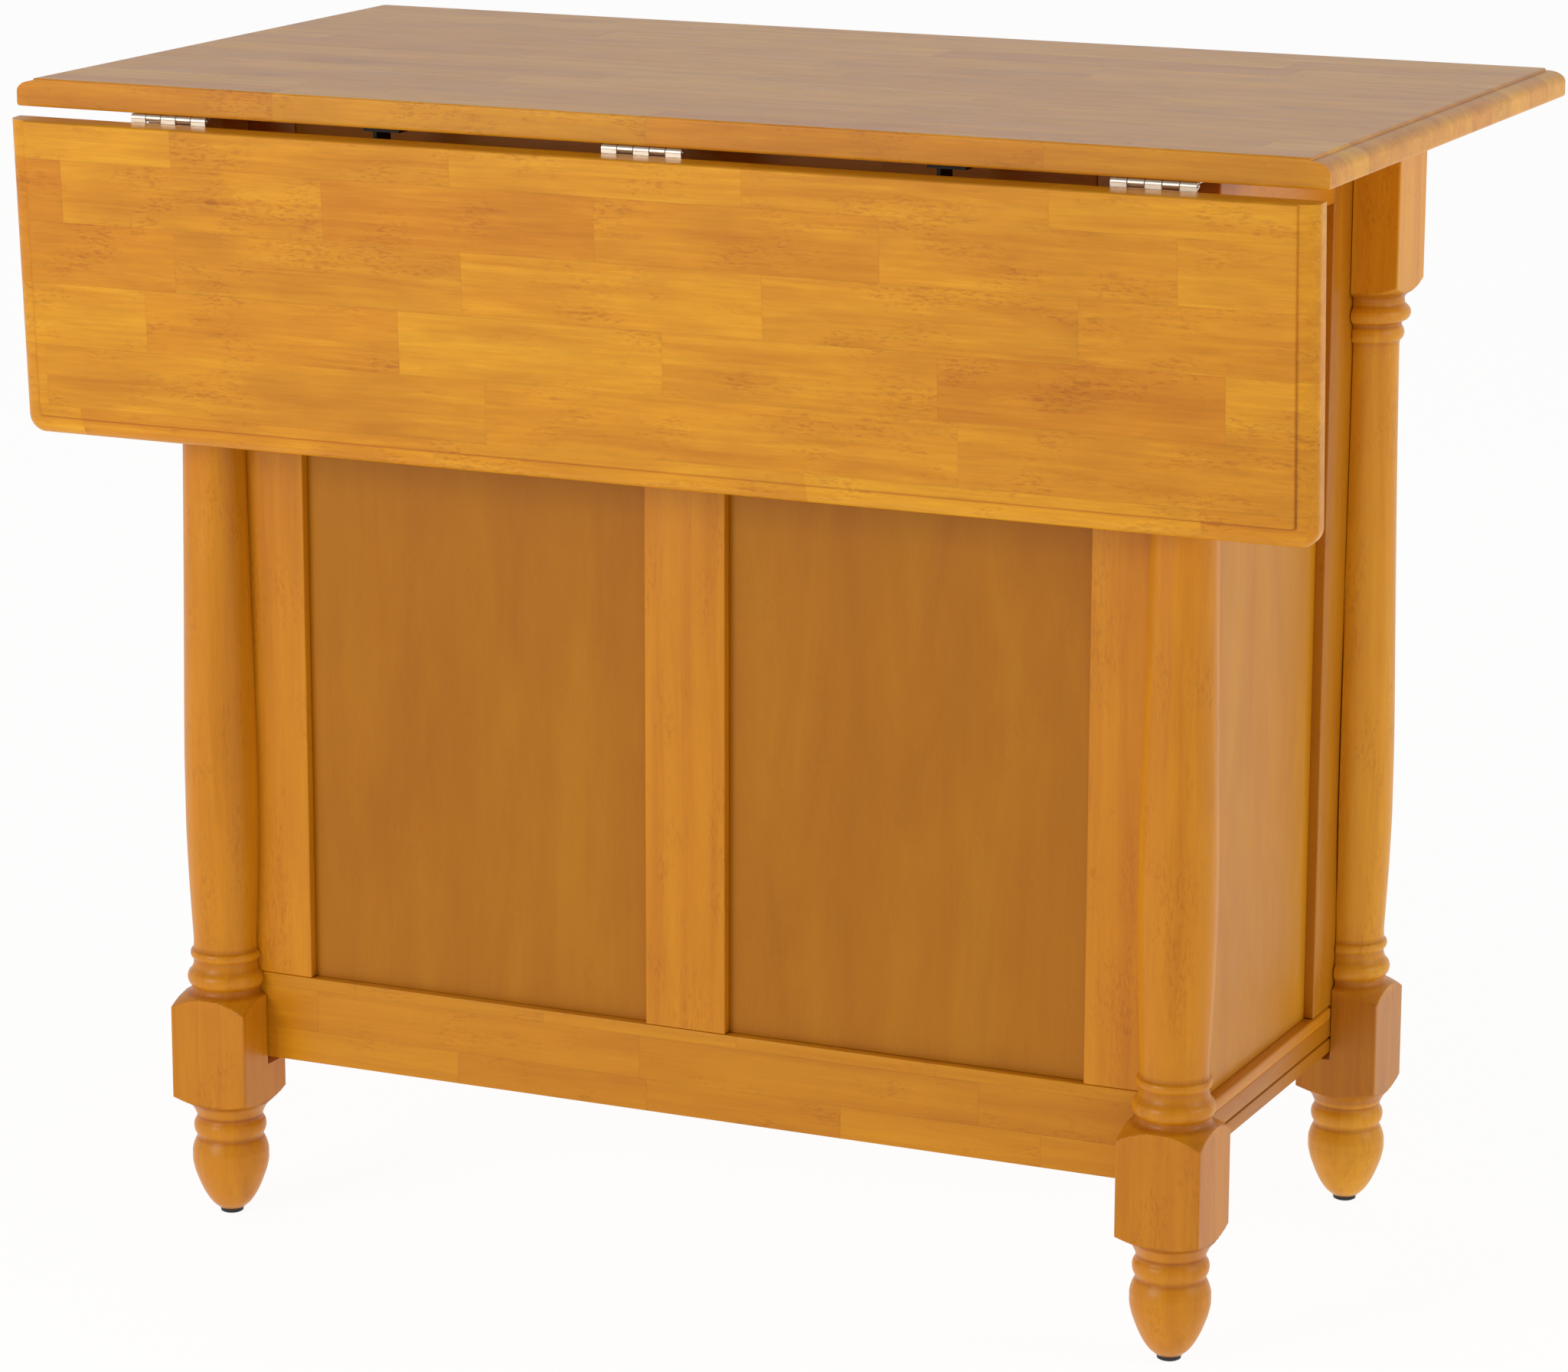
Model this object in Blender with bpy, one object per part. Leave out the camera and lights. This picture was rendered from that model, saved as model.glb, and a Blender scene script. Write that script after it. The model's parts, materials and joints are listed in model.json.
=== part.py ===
"""Butcher block kitchen island with a drop leaf on four turned legs.

Units are metres, +Z is up, +X runs along the long side, the drop leaf hangs
on the -Y side and the doors and drawer face +Y.
"""
import math

import bmesh
import bpy
from mathutils import Matrix, Vector

MM = 0.001

# plan position of the working coordinates: x = 0 is the left end of the top,
# y = 0 its hinge-side edge; these offsets centre the whole object
SHIFT_X = 527.5
SHIFT_Y = 275.735

# top
TOP_W = 1055.0
TOP_D = 574.0
TOP_Z = 914.0
TOP_T = 21.6
TOP_UNDER = TOP_Z - TOP_T
CORNER_R = 14.0
STEP_IN = 15.0
STEP_DROP = 2.0
ROUND_DROP = 8.5

# drop leaf, drawn raised and then swung down to its rest
LEAF_X0 = 4.0
LEAF_X1 = 1054.0
LEAF_GAP = 1.5
LEAF_LEN = 244.5
HINGE_Y = 2.0
HINGE_Z = 889.2
LEAF_TILT = 3.0

# leg centres, square stock and case
LEG_HALF = 33.2
LEG_NEAR_Y = 70.5
LEG_FAR_Y = 475.7
LEG_LEFT_X = 126.0
LEG_RIGHT_X = 929.0
CASE_X0 = 131.0
CASE_X1 = 924.0
CASE_Y0 = 76.0
CASE_Y1 = 470.7
CASE_Z0 = 132.0
CASE_Z1 = 892.1
GAP = 0.3
FRAME_T = 18.0

HINGE_CENTRES = (133.5, 530.0, 926.0)
SUPPORT_CENTRES = (300.0, 755.0)
PIVOT_Y = 20.6
PIVOT_Z = 849.2
STRUT_C = 176.0

# turned profile of a leg from the floor up: (height, radius)
LEG_PROFILE = (
    (4.3, 10.5), (9.0, 15.6), (15.7, 20.2), (22.0, 23.4), (30.0, 26.6),
    (38.0, 29.2), (46.0, 30.5), (52.0, 30.5), (57.5, 29.4), (62.0, 27.6),
    (64.6, 26.4), (67.0, 27.0), (70.0, 28.4), (73.5, 28.9), (77.0, 28.3),
    (80.0, 26.6), (82.5, 26.2), (85.0, 27.0), (91.0, 30.2), (94.5, 33.4),
    (97.0, 38.6), (99.5, 44.0), (101.5, 48.0), (103.5, 52.0), (170.0, 52.0),
    (172.5, 48.6), (176.0, 45.0), (180.0, 39.8), (183.5, 34.0), (186.5, 29.0),
    (189.5, 28.0), (191.0, 28.4), (193.5, 30.2), (197.5, 31.2), (201.5, 30.2),
    (204.0, 28.0), (207.0, 26.6), (210.5, 26.0), (213.0, 26.4), (214.5, 27.8),
    (217.0, 28.5), (219.5, 27.8), (221.0, 26.0), (228.0, 25.7), (242.0, 26.4),
    (262.0, 27.4), (290.0, 28.6), (330.0, 29.5), (370.0, 29.5), (410.0, 29.0),
    (460.0, 28.0), (510.0, 27.0), (570.0, 25.9), (630.0, 25.0), (680.0, 24.5),
    (703.0, 24.3), (706.0, 24.8), (708.0, 26.8), (712.0, 27.9), (716.0, 26.8),
    (718.0, 25.6), (720.5, 26.0), (722.5, 29.6), (725.0, 31.8), (728.0, 32.6),
    (731.0, 31.8), (733.5, 29.6), (735.5, 27.8), (740.0, 27.4), (743.0, 29.6),
    (745.5, 33.4), (748.0, 39.0), (751.0, 44.5), (754.0, 49.0), (756.0, 52.0),
    (892.1, 52.0),
)


# ------------------------------------------------------------------ helpers
def clear():
    for ob in list(bpy.data.objects):
        bpy.data.objects.remove(ob, do_unlink=True)
    for col in list(bpy.data.collections):
        bpy.data.collections.remove(col)


def collection(name):
    col = bpy.data.collections.new(name)
    bpy.context.scene.collection.children.link(col)
    return col


def material(name, rgb, rough, metallic=0.0):
    mat = bpy.data.materials.new(name)
    mat.use_nodes = True
    bsdf = mat.node_tree.nodes["Principled BSDF"]
    bsdf.inputs["Base Color"].default_value = (*rgb, 1.0)
    bsdf.inputs["Roughness"].default_value = rough
    bsdf.inputs["Metallic"].default_value = metallic
    return mat


def world(p):
    return ((p[0] - SHIFT_X) * MM, (p[1] - SHIFT_Y) * MM, p[2] * MM)


def finish(title, bm, mat, col):
    """Make an object of a bmesh; node names use lower case and underscores."""
    name = title.lower().replace(" ", "_")
    bmesh.ops.recalc_face_normals(bm, faces=bm.faces)
    mesh = bpy.data.meshes.new(name)
    bm.to_mesh(mesh)
    bm.free()
    mesh.materials.append(mat)
    ob = bpy.data.objects.new(name, mesh)
    col.objects.link(ob)
    return ob


def box_into(bm, x0, x1, y0, y1, z0, z1):
    """Add a plain box, in working millimetres, to a bmesh."""
    vs = [bm.verts.new(world((x, y, z)))
          for z in (z0, z1) for y in (y0, y1) for x in (x0, x1)]
    for f in ((0, 2, 3, 1), (4, 5, 7, 6), (0, 1, 5, 4), (2, 6, 7, 3),
              (0, 4, 6, 2), (1, 3, 7, 5)):
        bm.faces.new([vs[i] for i in f])
    return vs


def board(name, x0, x1, y0, y1, z0, z1, mat, col, ease=0.8):
    bm = bmesh.new()
    box_into(bm, x0, x1, y0, y1, z0, z1)
    if ease:
        bmesh.ops.bevel(bm, geom=list(bm.edges), offset=ease * MM,
                        offset_type="OFFSET", segments=1, profile=0.5,
                        affect="EDGES")
    return finish(name, bm, mat, col)


def loops_to_solid(loops):
    """Close a stack of matching loops with end caps."""
    bm = bmesh.new()
    rings = [[bm.verts.new(world(p)) for p in loop] for loop in loops]
    n = len(rings[0])
    for a, b in zip(rings[:-1], rings[1:]):
        for i in range(n):
            j = (i + 1) % n
            bm.faces.new((a[i], a[j], b[j], b[i]))
    bm.faces.new(rings[0])
    bm.faces.new(list(reversed(rings[-1])))
    return bm


def turned(cx, cy, profile, segs, z_axis=True):
    """Lathe a (height, radius) profile about an upright or a +Y axis."""
    loops = []
    for h, r in profile:
        loop = []
        for k in range(segs):
            a = 2 * math.pi * (k + 0.5) / segs
            if z_axis:
                loop.append((cx + r * math.cos(a), cy + r * math.sin(a), h))
            else:
                loop.append((cx + r * math.cos(a), h, cy + r * math.sin(a)))
        loops.append(loop)
    return loops_to_solid(loops)


def rod_x(x0, x1, cy, cz, r, segs=24):
    loops = []
    for x in (x0, x1):
        loops.append([(x, cy + r * math.cos(2 * math.pi * (k + 0.5) / segs),
                       cz + r * math.sin(2 * math.pi * (k + 0.5) / segs))
                      for k in range(segs)])
    return loops_to_solid(loops)


def tool(name, bm):
    """A hidden body that only shapes another one."""
    ob = finish(name, bm, STEEL, TOOLS)
    ob.hide_render = True
    ob.display_type = "WIRE"
    return ob


def combine(ob, other, how):
    mod = ob.modifiers.new(how.title(), "BOOLEAN")
    mod.operation = how
    mod.solver = "EXACT"
    mod.object = other
    return mod


def moulded_board(x0, x1, y_sq, y_out, z_top, thick, corner):
    """Board with a stepped thumbnail edge on three sides and a square one.

    y_sq is the square side, y_out the moulded long side.
    """
    sign = 1.0 if y_out > y_sq else -1.0
    levels = [(STEP_IN + 0.6, 0.0), (STEP_IN, 0.35), (STEP_IN - 0.4, STEP_DROP)]
    for k in range(1, 9):
        a = math.radians(90 * k / 8)
        levels.append(((STEP_IN - 0.4) * (1 - math.sin(a)),
                       STEP_DROP + ROUND_DROP * (1 - math.cos(a))))
    levels += [(0.0, thick - 2.4), (0.45, thick - 0.8), (1.8, thick)]
    loops = []
    for inset, depth in levels:
        rad = max(corner - inset, 2.5)
        ease = max(0.0, 1.0 - depth) if depth < 1.0 else max(0.0, depth - thick + 1.0)
        xa, xb = x0 + inset, x1 - inset
        yo = y_out - sign * inset
        ys = y_sq + sign * ease
        loop = [(xa, ys, z_top - depth), (xb, ys, z_top - depth)]
        for k in range(9):
            a = math.radians(90 * k / 8)
            loop.append((xb - rad + rad * math.cos(a),
                         yo - sign * (rad - rad * math.sin(a)), z_top - depth))
        for k in range(9):
            a = math.radians(90 + 90 * k / 8)
            loop.append((xa + rad + rad * math.cos(a),
                         yo - sign * (rad - rad * math.sin(a)), z_top - depth))
        loops.append(loop)
    return loops_to_solid(loops)


def swing_down(bm, angle=90.0 + LEAF_TILT):
    """Turn a raised leaf part about the hinge pin to its hanging rest."""
    pin = Vector(world((0.0, HINGE_Y, HINGE_Z)))
    turn = (Matrix.Translation(pin) @ Matrix.Rotation(math.radians(angle), 4, "X")
            @ Matrix.Translation(-pin))
    bmesh.ops.transform(bm, matrix=turn, verts=bm.verts)


# ---------------------------------------------------------------- materials
clear()
ISLAND = collection("Butcher block island")
TOOLS = collection("Shaping bodies")
WOOD_TOP = material("Oiled butcher block", (0.55, 0.27, 0.08), 0.4)
WOOD = material("Honey stained hardwood", (0.52, 0.23, 0.05), 0.42)
WOOD_PANEL = material("Honey stained panel", (0.42, 0.17, 0.035), 0.42)
WOOD_INNER = material("Plain inner wood", (0.62, 0.42, 0.2), 0.55)
STEEL = material("Brushed nickel steel", (0.6, 0.57, 0.5), 0.35, 1.0)
DARK_STEEL = material("Blackened steel", (0.05, 0.045, 0.04), 0.45, 1.0)
BLACK = material("Black nylon", (0.02, 0.018, 0.016), 0.6)

# ---------------------------------------------------------------------- top
finish("Butcher block top",
       moulded_board(0.0, TOP_W, 0.0, TOP_D, TOP_Z, TOP_T, CORNER_R),
       WOOD_TOP, ISLAND)

# ---------------------------------------------------------------- drop leaf
bm = moulded_board(LEAF_X0, LEAF_X1, -LEAF_GAP, -(LEAF_GAP + LEAF_LEN), TOP_Z,
                   TOP_T, CORNER_R)
swing_down(bm)
finish("Drop leaf", bm, WOOD_TOP, ISLAND)

# ------------------------------------------------------------------- hinges
KNUCKLE = 13.0
PLATE_Z0 = TOP_UNDER - 1.9
PLATE_Z1 = TOP_UNDER - 0.3
for i, cx in enumerate(HINGE_CENTRES):
    label = ("left", "middle", "right")[i]
    x0 = cx - 2.5 * KNUCKLE
    own = [(x0 + k * KNUCKLE + 0.15, x0 + (k + 1) * KNUCKLE - 0.15)
           for k in range(5)]
    # fixed half: flat plate under the top, knuckles 2 and 4 and the pin
    bm = bmesh.new()
    box_into(bm, x0, x0 + 65.0, HINGE_Y + 3.6, 34.0, PLATE_Z0, PLATE_Z1)
    fixed = finish(f"Hinge {label} fixed plate", bm, STEEL, ISLAND)
    for k in (1, 3):
        a, b = own[k]
        bm = bmesh.new()
        box_into(bm, a, b, HINGE_Y - 0.2, HINGE_Y + 4.4, PLATE_Z0 + 0.01,
                 PLATE_Z1 - 0.01)
        combine(fixed, tool(f"Tongue {label} {k}", bm), "UNION")
        combine(fixed, tool(f"Knuckle {label} {k}",
                            rod_x(a + 0.01, b - 0.01, HINGE_Y, HINGE_Z, 2.95)),
                "UNION")
    combine(fixed, tool(f"Pin {label}",
                        rod_x(x0 - 0.8, x0 + 65.8, HINGE_Y, HINGE_Z, 1.3, 16)),
            "UNION")
    # moving half: plate on the leaf, knuckles 1, 3 and 5 bored for the pin
    bm = bmesh.new()
    box_into(bm, x0, x0 + 65.0, -34.0, HINGE_Y - 3.6, PLATE_Z0, PLATE_Z1)
    swing_down(bm)
    moving = finish(f"Hinge {label} leaf plate", bm, STEEL, ISLAND)
    for k in (0, 2, 4):
        a, b = own[k]
        bm = bmesh.new()
        box_into(bm, a, b, HINGE_Y - 4.4, HINGE_Y + 0.2, PLATE_Z0 + 0.01,
                 PLATE_Z1 - 0.01)
        swing_down(bm)
        combine(moving, tool(f"Leaf tongue {label} {k}", bm), "UNION")
        combine(moving, tool(f"Leaf knuckle {label} {k}",
                             rod_x(a + 0.01, b - 0.01, HINGE_Y, HINGE_Z, 2.95)),
                "UNION")
    combine(moving, tool(f"Pin bore {label}",
                         rod_x(x0 - 3.0, x0 + 68.0, HINGE_Y, HINGE_Z, 1.6, 16)),
            "DIFFERENCE")

# ------------------------------------------------------------ leaf supports
for i, cx in enumerate(SUPPORT_CENTRES):
    label = ("left", "right")[i]
    # bracket: plate under the top, hanging tab, pivot stud with a head
    bm = bmesh.new()
    box_into(bm, cx - 3.0, cx + 27.0, 7.0, 47.0, TOP_UNDER - 3.3, TOP_UNDER - 0.3)
    bracket = finish(f"Support bracket {label}", bm, DARK_STEEL, ISLAND)
    bm = bmesh.new()
    box_into(bm, cx + 2.6, cx + 5.6, PIVOT_Y - 9.0, PIVOT_Y + 13.0,
             PIVOT_Z - 9.0, TOP_UNDER - 1.0)
    combine(bracket, tool(f"Bracket tab {label}", bm), "UNION")
    combine(bracket, tool(f"Bracket stud {label}",
                          rod_x(cx - 4.0, cx + 4.0, PIVOT_Y, PIVOT_Z, 3.0)),
            "UNION")
    combine(bracket, tool(f"Bracket stud head {label}",
                          rod_x(cx - 5.6, cx - 2.6, PIVOT_Y, PIVOT_Z, 5.5)),
            "UNION")
    # strut: flat bar with round ends, bored at the pivot
    outline = []
    for k in range(13):
        a = math.radians(180 * k / 12)
        outline.append((PIVOT_Y + 8.0 * math.cos(a), PIVOT_Z + 8.0 * math.sin(a)))
    for k in range(13):
        a = math.radians(180 + 180 * k / 12)
        outline.append((PIVOT_Y + 8.0 * math.cos(a),
                        PIVOT_Z - STRUT_C + 8.0 * math.sin(a)))
    loops = [[(x, y, z) for y, z in outline] for x in (cx - 2.2, cx + 2.2)]
    strut = finish(f"Support strut {label}", loops_to_solid(loops), DARK_STEEL, ISLAND)
    combine(strut, tool(f"Strut bore {label}",
                        rod_x(cx - 9.0, cx + 9.0, PIVOT_Y, PIVOT_Z, 3.35)),
            "DIFFERENCE")
    # rest plate the strut bears on, let onto the underside of the leaf
    bm = bmesh.new()
    box_into(bm, cx - 12.0, cx + 12.0, -232.0, -138.0, TOP_UNDER - 2.0,
             TOP_UNDER - 0.3)
    swing_down(bm)
    finish(f"Leaf rest plate {label}", bm, DARK_STEEL, ISLAND)

# --------------------------------------------------------------------- legs
bm = bmesh.new()
box_into(bm, CASE_X0 - GAP, CASE_X1 + GAP, CASE_Y0 - GAP, CASE_Y1 + GAP,
         CASE_Z0 - GAP, CASE_Z1 + 30.0)
case_body = tool("Case space", bm)
LEGS = (("near left", LEG_LEFT_X, LEG_NEAR_Y), ("near right", LEG_RIGHT_X, LEG_NEAR_Y),
        ("far left", LEG_LEFT_X, LEG_FAR_Y), ("far right", LEG_RIGHT_X, LEG_FAR_Y))
for label, cx, cy in LEGS:
    leg = finish(f"Leg {label}", turned(cx, cy, LEG_PROFILE, 26), WOOD, ISLAND)
    bm = bmesh.new()
    vs = box_into(bm, cx - LEG_HALF, cx + LEG_HALF, cy - LEG_HALF, cy + LEG_HALF,
                  -20.0, CASE_Z1 + 20.0)
    up = [e for e in bm.edges
          if abs(e.verts[0].co.z - e.verts[1].co.z) > 0.1]
    bmesh.ops.bevel(bm, geom=up, offset=1.6 * MM, offset_type="OFFSET",
                    segments=2, profile=0.5, affect="EDGES")
    combine(leg, tool(f"Leg stock {label}", bm), "INTERSECT")
    combine(leg, case_body, "DIFFERENCE")
    finish(f"Glide {label}",
           turned(cx, cy, ((0.0, 7.6), (0.8, 9.0), (4.0, 9.4)), 18), BLACK, ISLAND)

# --------------------------------------------------------------- back frame
y0, y1 = CASE_Y0, CASE_Y0 + FRAME_T
board("Back bottom rail", CASE_X0, CASE_X1, y0, y1, CASE_Z0, 202.0, WOOD, ISLAND)
board("Back stile left", CASE_X0, 200.0, y0, y1, 202.3, CASE_Z1, WOOD, ISLAND)
board("Back stile right", 855.0, CASE_X1, y0, y1, 202.3, CASE_Z1, WOOD, ISLAND)
board("Back top rail", 200.3, 854.7, y0, y1, 822.0, CASE_Z1, WOOD, ISLAND)
board("Back centre stile", 494.0, 561.0, y0, y1, 202.3, 821.7, WOOD, ISLAND)
board("Back panel left", 200.3, 493.7, y0 + 8.0, y0 + 14.0, 202.3, 821.7,
      WOOD_PANEL, ISLAND, 0.0)
board("Back panel right", 561.3, 854.7, y0 + 8.0, y0 + 14.0, 202.3, 821.7,
      WOOD_PANEL, ISLAND, 0.0)

# -------------------------------------------------------------- side frames
ya, yb = CASE_Y0 + FRAME_T + GAP, CASE_Y1 - FRAME_T - GAP
for side in ("left", "right"):
    flip = -1.0 if side == "left" else 1.0
    out = CASE_X0 if side == "left" else CASE_X1

    def span(d0, d1, out=out, flip=flip):
        """x range between two depths measured inward from the outer face."""
        a, b = out - flip * d0, out - flip * d1
        return min(a, b), max(a, b)

    fx = span(0.0, FRAME_T)
    board(f"Side {side} bottom rail", *fx, ya, yb, CASE_Z0, 160.0, WOOD, ISLAND)
    board(f"Side {side} bead", *span(-1.5, 12.0), CASE_Y0 + 31.0, CASE_Y1 - 31.0,
          160.3, 171.0, WOOD, ISLAND, 2.5)
    board(f"Side {side} near stile", *fx, ya, 146.7, 171.3, CASE_Z1, WOOD, ISLAND)
    board(f"Side {side} far stile", *fx, 400.0, yb, 171.3, CASE_Z1, WOOD, ISLAND)
    board(f"Side {side} top rail", *fx, 147.0, 399.7, 822.0, CASE_Z1, WOOD, ISLAND)
    board(f"Side {side} panel", *span(8.0, 14.0), 147.0, 399.7, 171.3, 821.7,
          WOOD_PANEL, ISLAND, 0.0)

# --------------------------------------------------------------- face frame
y0, y1 = CASE_Y1 - FRAME_T, CASE_Y1
board("Face bottom rail", CASE_X0, CASE_X1, y0, y1, CASE_Z0, 202.0, WOOD, ISLAND)
board("Face stile left", CASE_X0, 191.0, y0, y1, 202.3, CASE_Z1, WOOD, ISLAND)
board("Face stile right", 864.0, CASE_X1, y0, y1, 202.3, CASE_Z1, WOOD, ISLAND)
board("Face top rail", 191.3, 863.7, y0, y1, 864.0, CASE_Z1, WOOD, ISLAND)
board("Face middle rail", 191.3, 863.7, y0, y1, 722.0, 752.0, WOOD, ISLAND)

# ----------------------------------------------------------------- interior
xi0, xi1 = CASE_X0 + FRAME_T + GAP, CASE_X1 - FRAME_T - GAP
board("Bottom board", xi0, xi1, ya, yb, 184.0, 202.0, WOOD_INNER, ISLAND, 0.0)
board("Shelf", xi0, xi1, ya, 430.0, 440.0, 458.0, WOOD_INNER, ISLAND, 0.0)
board("Drawer runner left", xi0, 214.0, ya, yb, 738.0, 756.0, WOOD_INNER, ISLAND, 0.0)
board("Drawer runner right", 841.0, xi1, ya, yb, 738.0, 756.0, WOOD_INNER, ISLAND, 0.0)

# ------------------------------------------------------------------- drawer
DOOR_Y0, DOOR_Y1 = CASE_Y1 + GAP, CASE_Y1 + GAP + 18.0
board("Drawer front", 181.0, 874.0, DOOR_Y0, DOOR_Y1, 741.0, 873.0, WOOD, ISLAND, 2.0)
bm = bmesh.new()
box_into(bm, 196.0, 859.0, 112.0, CASE_Y1, 756.4, 846.0)
tray = finish("Drawer box", bm, WOOD_INNER, ISLAND)
bm = bmesh.new()
box_into(bm, 208.0, 847.0, 124.0, CASE_Y1 - 12.0, 764.4, 870.0)
combine(tray, tool("Drawer space", bm), "DIFFERENCE")

# -------------------------------------------------------------------- doors
for side, x0, x1 in (("left", 181.0, 526.0), ("right", 529.0, 874.0)):
    door = board(f"Door {side}", x0, x1, DOOR_Y0, DOOR_Y1, 192.0, 733.0, WOOD,
                 ISLAND, 2.0)
    bm = bmesh.new()
    box_into(bm, x0 + 62.0, x1 - 62.0, DOOR_Y1 - 7.0, DOOR_Y1 + 20.0, 254.0, 671.0)
    combine(door, tool(f"Door {side} field", bm), "DIFFERENCE")

# -------------------------------------------------------------------- knobs
KNOB = ((0.0, 8.0), (1.5, 8.0), (3.0, 6.4), (9.0, 6.0), (12.0, 8.0), (15.0, 13.0),
        (18.5, 16.0), (22.0, 16.0), (25.0, 13.0), (27.0, 7.0))
for name, cx, cz in (("Drawer knob left", 354.0, 807.0),
                     ("Drawer knob right", 701.0, 807.0),
                     ("Door knob left", 495.0, 600.0),
                     ("Door knob right", 560.0, 600.0)):
    prof = [(DOOR_Y1 + GAP + h, r) for h, r in KNOB]
    finish(name, turned(cx, cz, prof, 18, z_axis=False), WOOD, ISLAND)
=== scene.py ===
import json
import math

import bpy
import numpy as np
from mathutils import Matrix, Vector


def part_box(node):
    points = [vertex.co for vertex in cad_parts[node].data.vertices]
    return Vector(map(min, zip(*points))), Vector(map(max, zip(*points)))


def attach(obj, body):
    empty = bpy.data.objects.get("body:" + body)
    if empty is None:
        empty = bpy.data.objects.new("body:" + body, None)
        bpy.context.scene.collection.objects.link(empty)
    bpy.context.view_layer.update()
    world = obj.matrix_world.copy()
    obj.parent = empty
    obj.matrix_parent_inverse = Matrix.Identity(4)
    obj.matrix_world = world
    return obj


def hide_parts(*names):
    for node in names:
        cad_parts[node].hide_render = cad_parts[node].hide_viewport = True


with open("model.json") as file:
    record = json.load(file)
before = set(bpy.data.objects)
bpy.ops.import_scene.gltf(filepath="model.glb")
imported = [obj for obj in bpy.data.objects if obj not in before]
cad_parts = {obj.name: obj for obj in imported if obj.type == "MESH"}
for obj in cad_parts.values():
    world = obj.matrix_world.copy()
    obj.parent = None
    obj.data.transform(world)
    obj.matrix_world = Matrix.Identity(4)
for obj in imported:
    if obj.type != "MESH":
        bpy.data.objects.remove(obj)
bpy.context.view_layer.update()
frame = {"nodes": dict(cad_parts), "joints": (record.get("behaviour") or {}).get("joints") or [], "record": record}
joints = {joint["name"]: joint for joint in frame["joints"]}
print("frame loaded:", len(frame["nodes"]), "nodes")

mm = 0.001
scene = bpy.context.scene


def toLinear(hexColour):
    # each sRGB channel c becomes ((c + 0.055) / 1.055) ^ 2.4, or c / 12.92 when dark
    parts = [int(hexColour[i:i + 2], 16) / 255 for i in (1, 3, 5)]
    return tuple(c / 12.92 if c <= 0.04045 else ((c + 0.055) / 1.055) ** 2.4
                 for c in parts) + (1.0,)


def addNode(tree, kind, inputs=None, **settings):
    # one node with its settings; a socket given as a value is linked, anything else is set
    node = tree.nodes.new(kind)
    for key, value in settings.items():
        setattr(node, key, value)
    for key, value in (inputs or {}).items():
        if isinstance(value, bpy.types.NodeSocket):
            tree.links.new(value, node.inputs[key])
        else:
            node.inputs[key].default_value = value
    return node


def calculator(tree):
    # a function that adds one maths node to the tree and gives its result's socket
    def calc(operation, first, second=0.0, third=0.0):
        return addNode(tree, "ShaderNodeMath", {0: first, 1: second, 2: third},
                       operation=operation).outputs[0]
    return calc


def newMaterial(name):
    # an empty node material and its tree
    material = bpy.data.materials.new(name)
    material.use_nodes = True
    tree = material.node_tree
    tree.nodes.clear()
    return material, tree


def meshObject(name, vertices, faces, sharpAngle=35.0):
    # vertices is an (n, 3) array in metres, faces a list of index lists
    mesh = bpy.data.meshes.new(name)
    mesh.from_pydata([tuple(v) for v in np.asarray(vertices).tolist()], [], faces)
    mesh.update()
    mesh.shade_smooth()
    mesh.set_sharp_from_angle(angle=math.radians(sharpAngle))
    piece = bpy.data.objects.new(name, mesh)
    scene.collection.objects.link(piece)
    return piece


def gridFaces(rows, columns, flip=False):
    # quads of a (rows, columns) grid that closes round its columns, with an n-gon on each end
    r, c = np.meshgrid(np.arange(rows - 1), np.arange(columns), indexing="ij")
    n = (c + 1) % columns
    quads = np.stack((r * columns + c, r * columns + n,
                      (r + 1) * columns + n, (r + 1) * columns + c), -1).reshape(-1, 4)
    faces = quads.tolist()
    faces.append(list(range(columns))[::-1])
    faces.append(list(range((rows - 1) * columns, rows * columns)))
    return [face[::-1] for face in faces] if flip else faces


def joined(parts):
    # several (vertices, faces) pairs as one, each face list moved past the earlier vertices
    vertices = np.concatenate([np.asarray(v, float) for v, _ in parts])
    starts = np.cumsum([0] + [len(v) for v, _ in parts])
    faces = [[int(i) + int(start) for i in face]
             for start, (_, some) in zip(starts, parts) for face in some]
    return vertices, faces


def easedBox(low, high, radius, steps=4):
    # Rows climb the box; near each end a row's corners shrink as a sphere's sections do:
    # height = r (1 + sin p), corner radius = r cos p, about fixed corner centres.
    p = np.radians(np.linspace(-78, 0, steps + 1))
    z = np.concatenate((low[2] + radius * (1 + np.sin(p)),
                        (high[2] - radius * (1 + np.sin(p)))[::-1]))
    corner = np.concatenate((np.cos(p), np.cos(p)[::-1]))[:, None] * radius
    a = np.radians(np.concatenate([90 * k + np.linspace(0, 90, steps + 1) for k in range(4)]))
    cx = np.repeat([high[0] - radius, low[0] + radius, low[0] + radius, high[0] - radius],
                   steps + 1)
    cy = np.repeat([high[1] - radius, high[1] - radius, low[1] + radius, low[1] + radius],
                   steps + 1)
    x, y = cx + corner * np.cos(a), cy + corner * np.sin(a)
    vertices = np.stack((x, y, np.broadcast_to(z[:, None], x.shape)), -1).reshape(-1, 3)
    return vertices, gridFaces(len(z), len(a))


def revolved(points, origin, axis, spokes=32, sign=1.0):
    # a circle of radius r(h) carried along one axis from origin; points are (h, r) in mm
    h, r = np.array(points, float).T * mm
    a = np.linspace(0, 2 * np.pi, spokes, endpoint=False)
    u, v = r[:, None] * np.cos(a), r[:, None] * np.sin(a)
    w = np.broadcast_to(sign * h[:, None], u.shape)
    grid = {"X": (w, u, v), "Y": (v, w, u), "Z": (u, v, w)}[axis]
    vertices = np.stack(grid, -1).reshape(-1, 3) + np.asarray(origin, float)
    return vertices, gridFaces(len(h), len(a), flip=(sign < 0))


def coat(piece, material):
    # the piece's only material; its mesh is left as it is
    piece.data.materials.clear()
    piece.data.materials.append(material)


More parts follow.
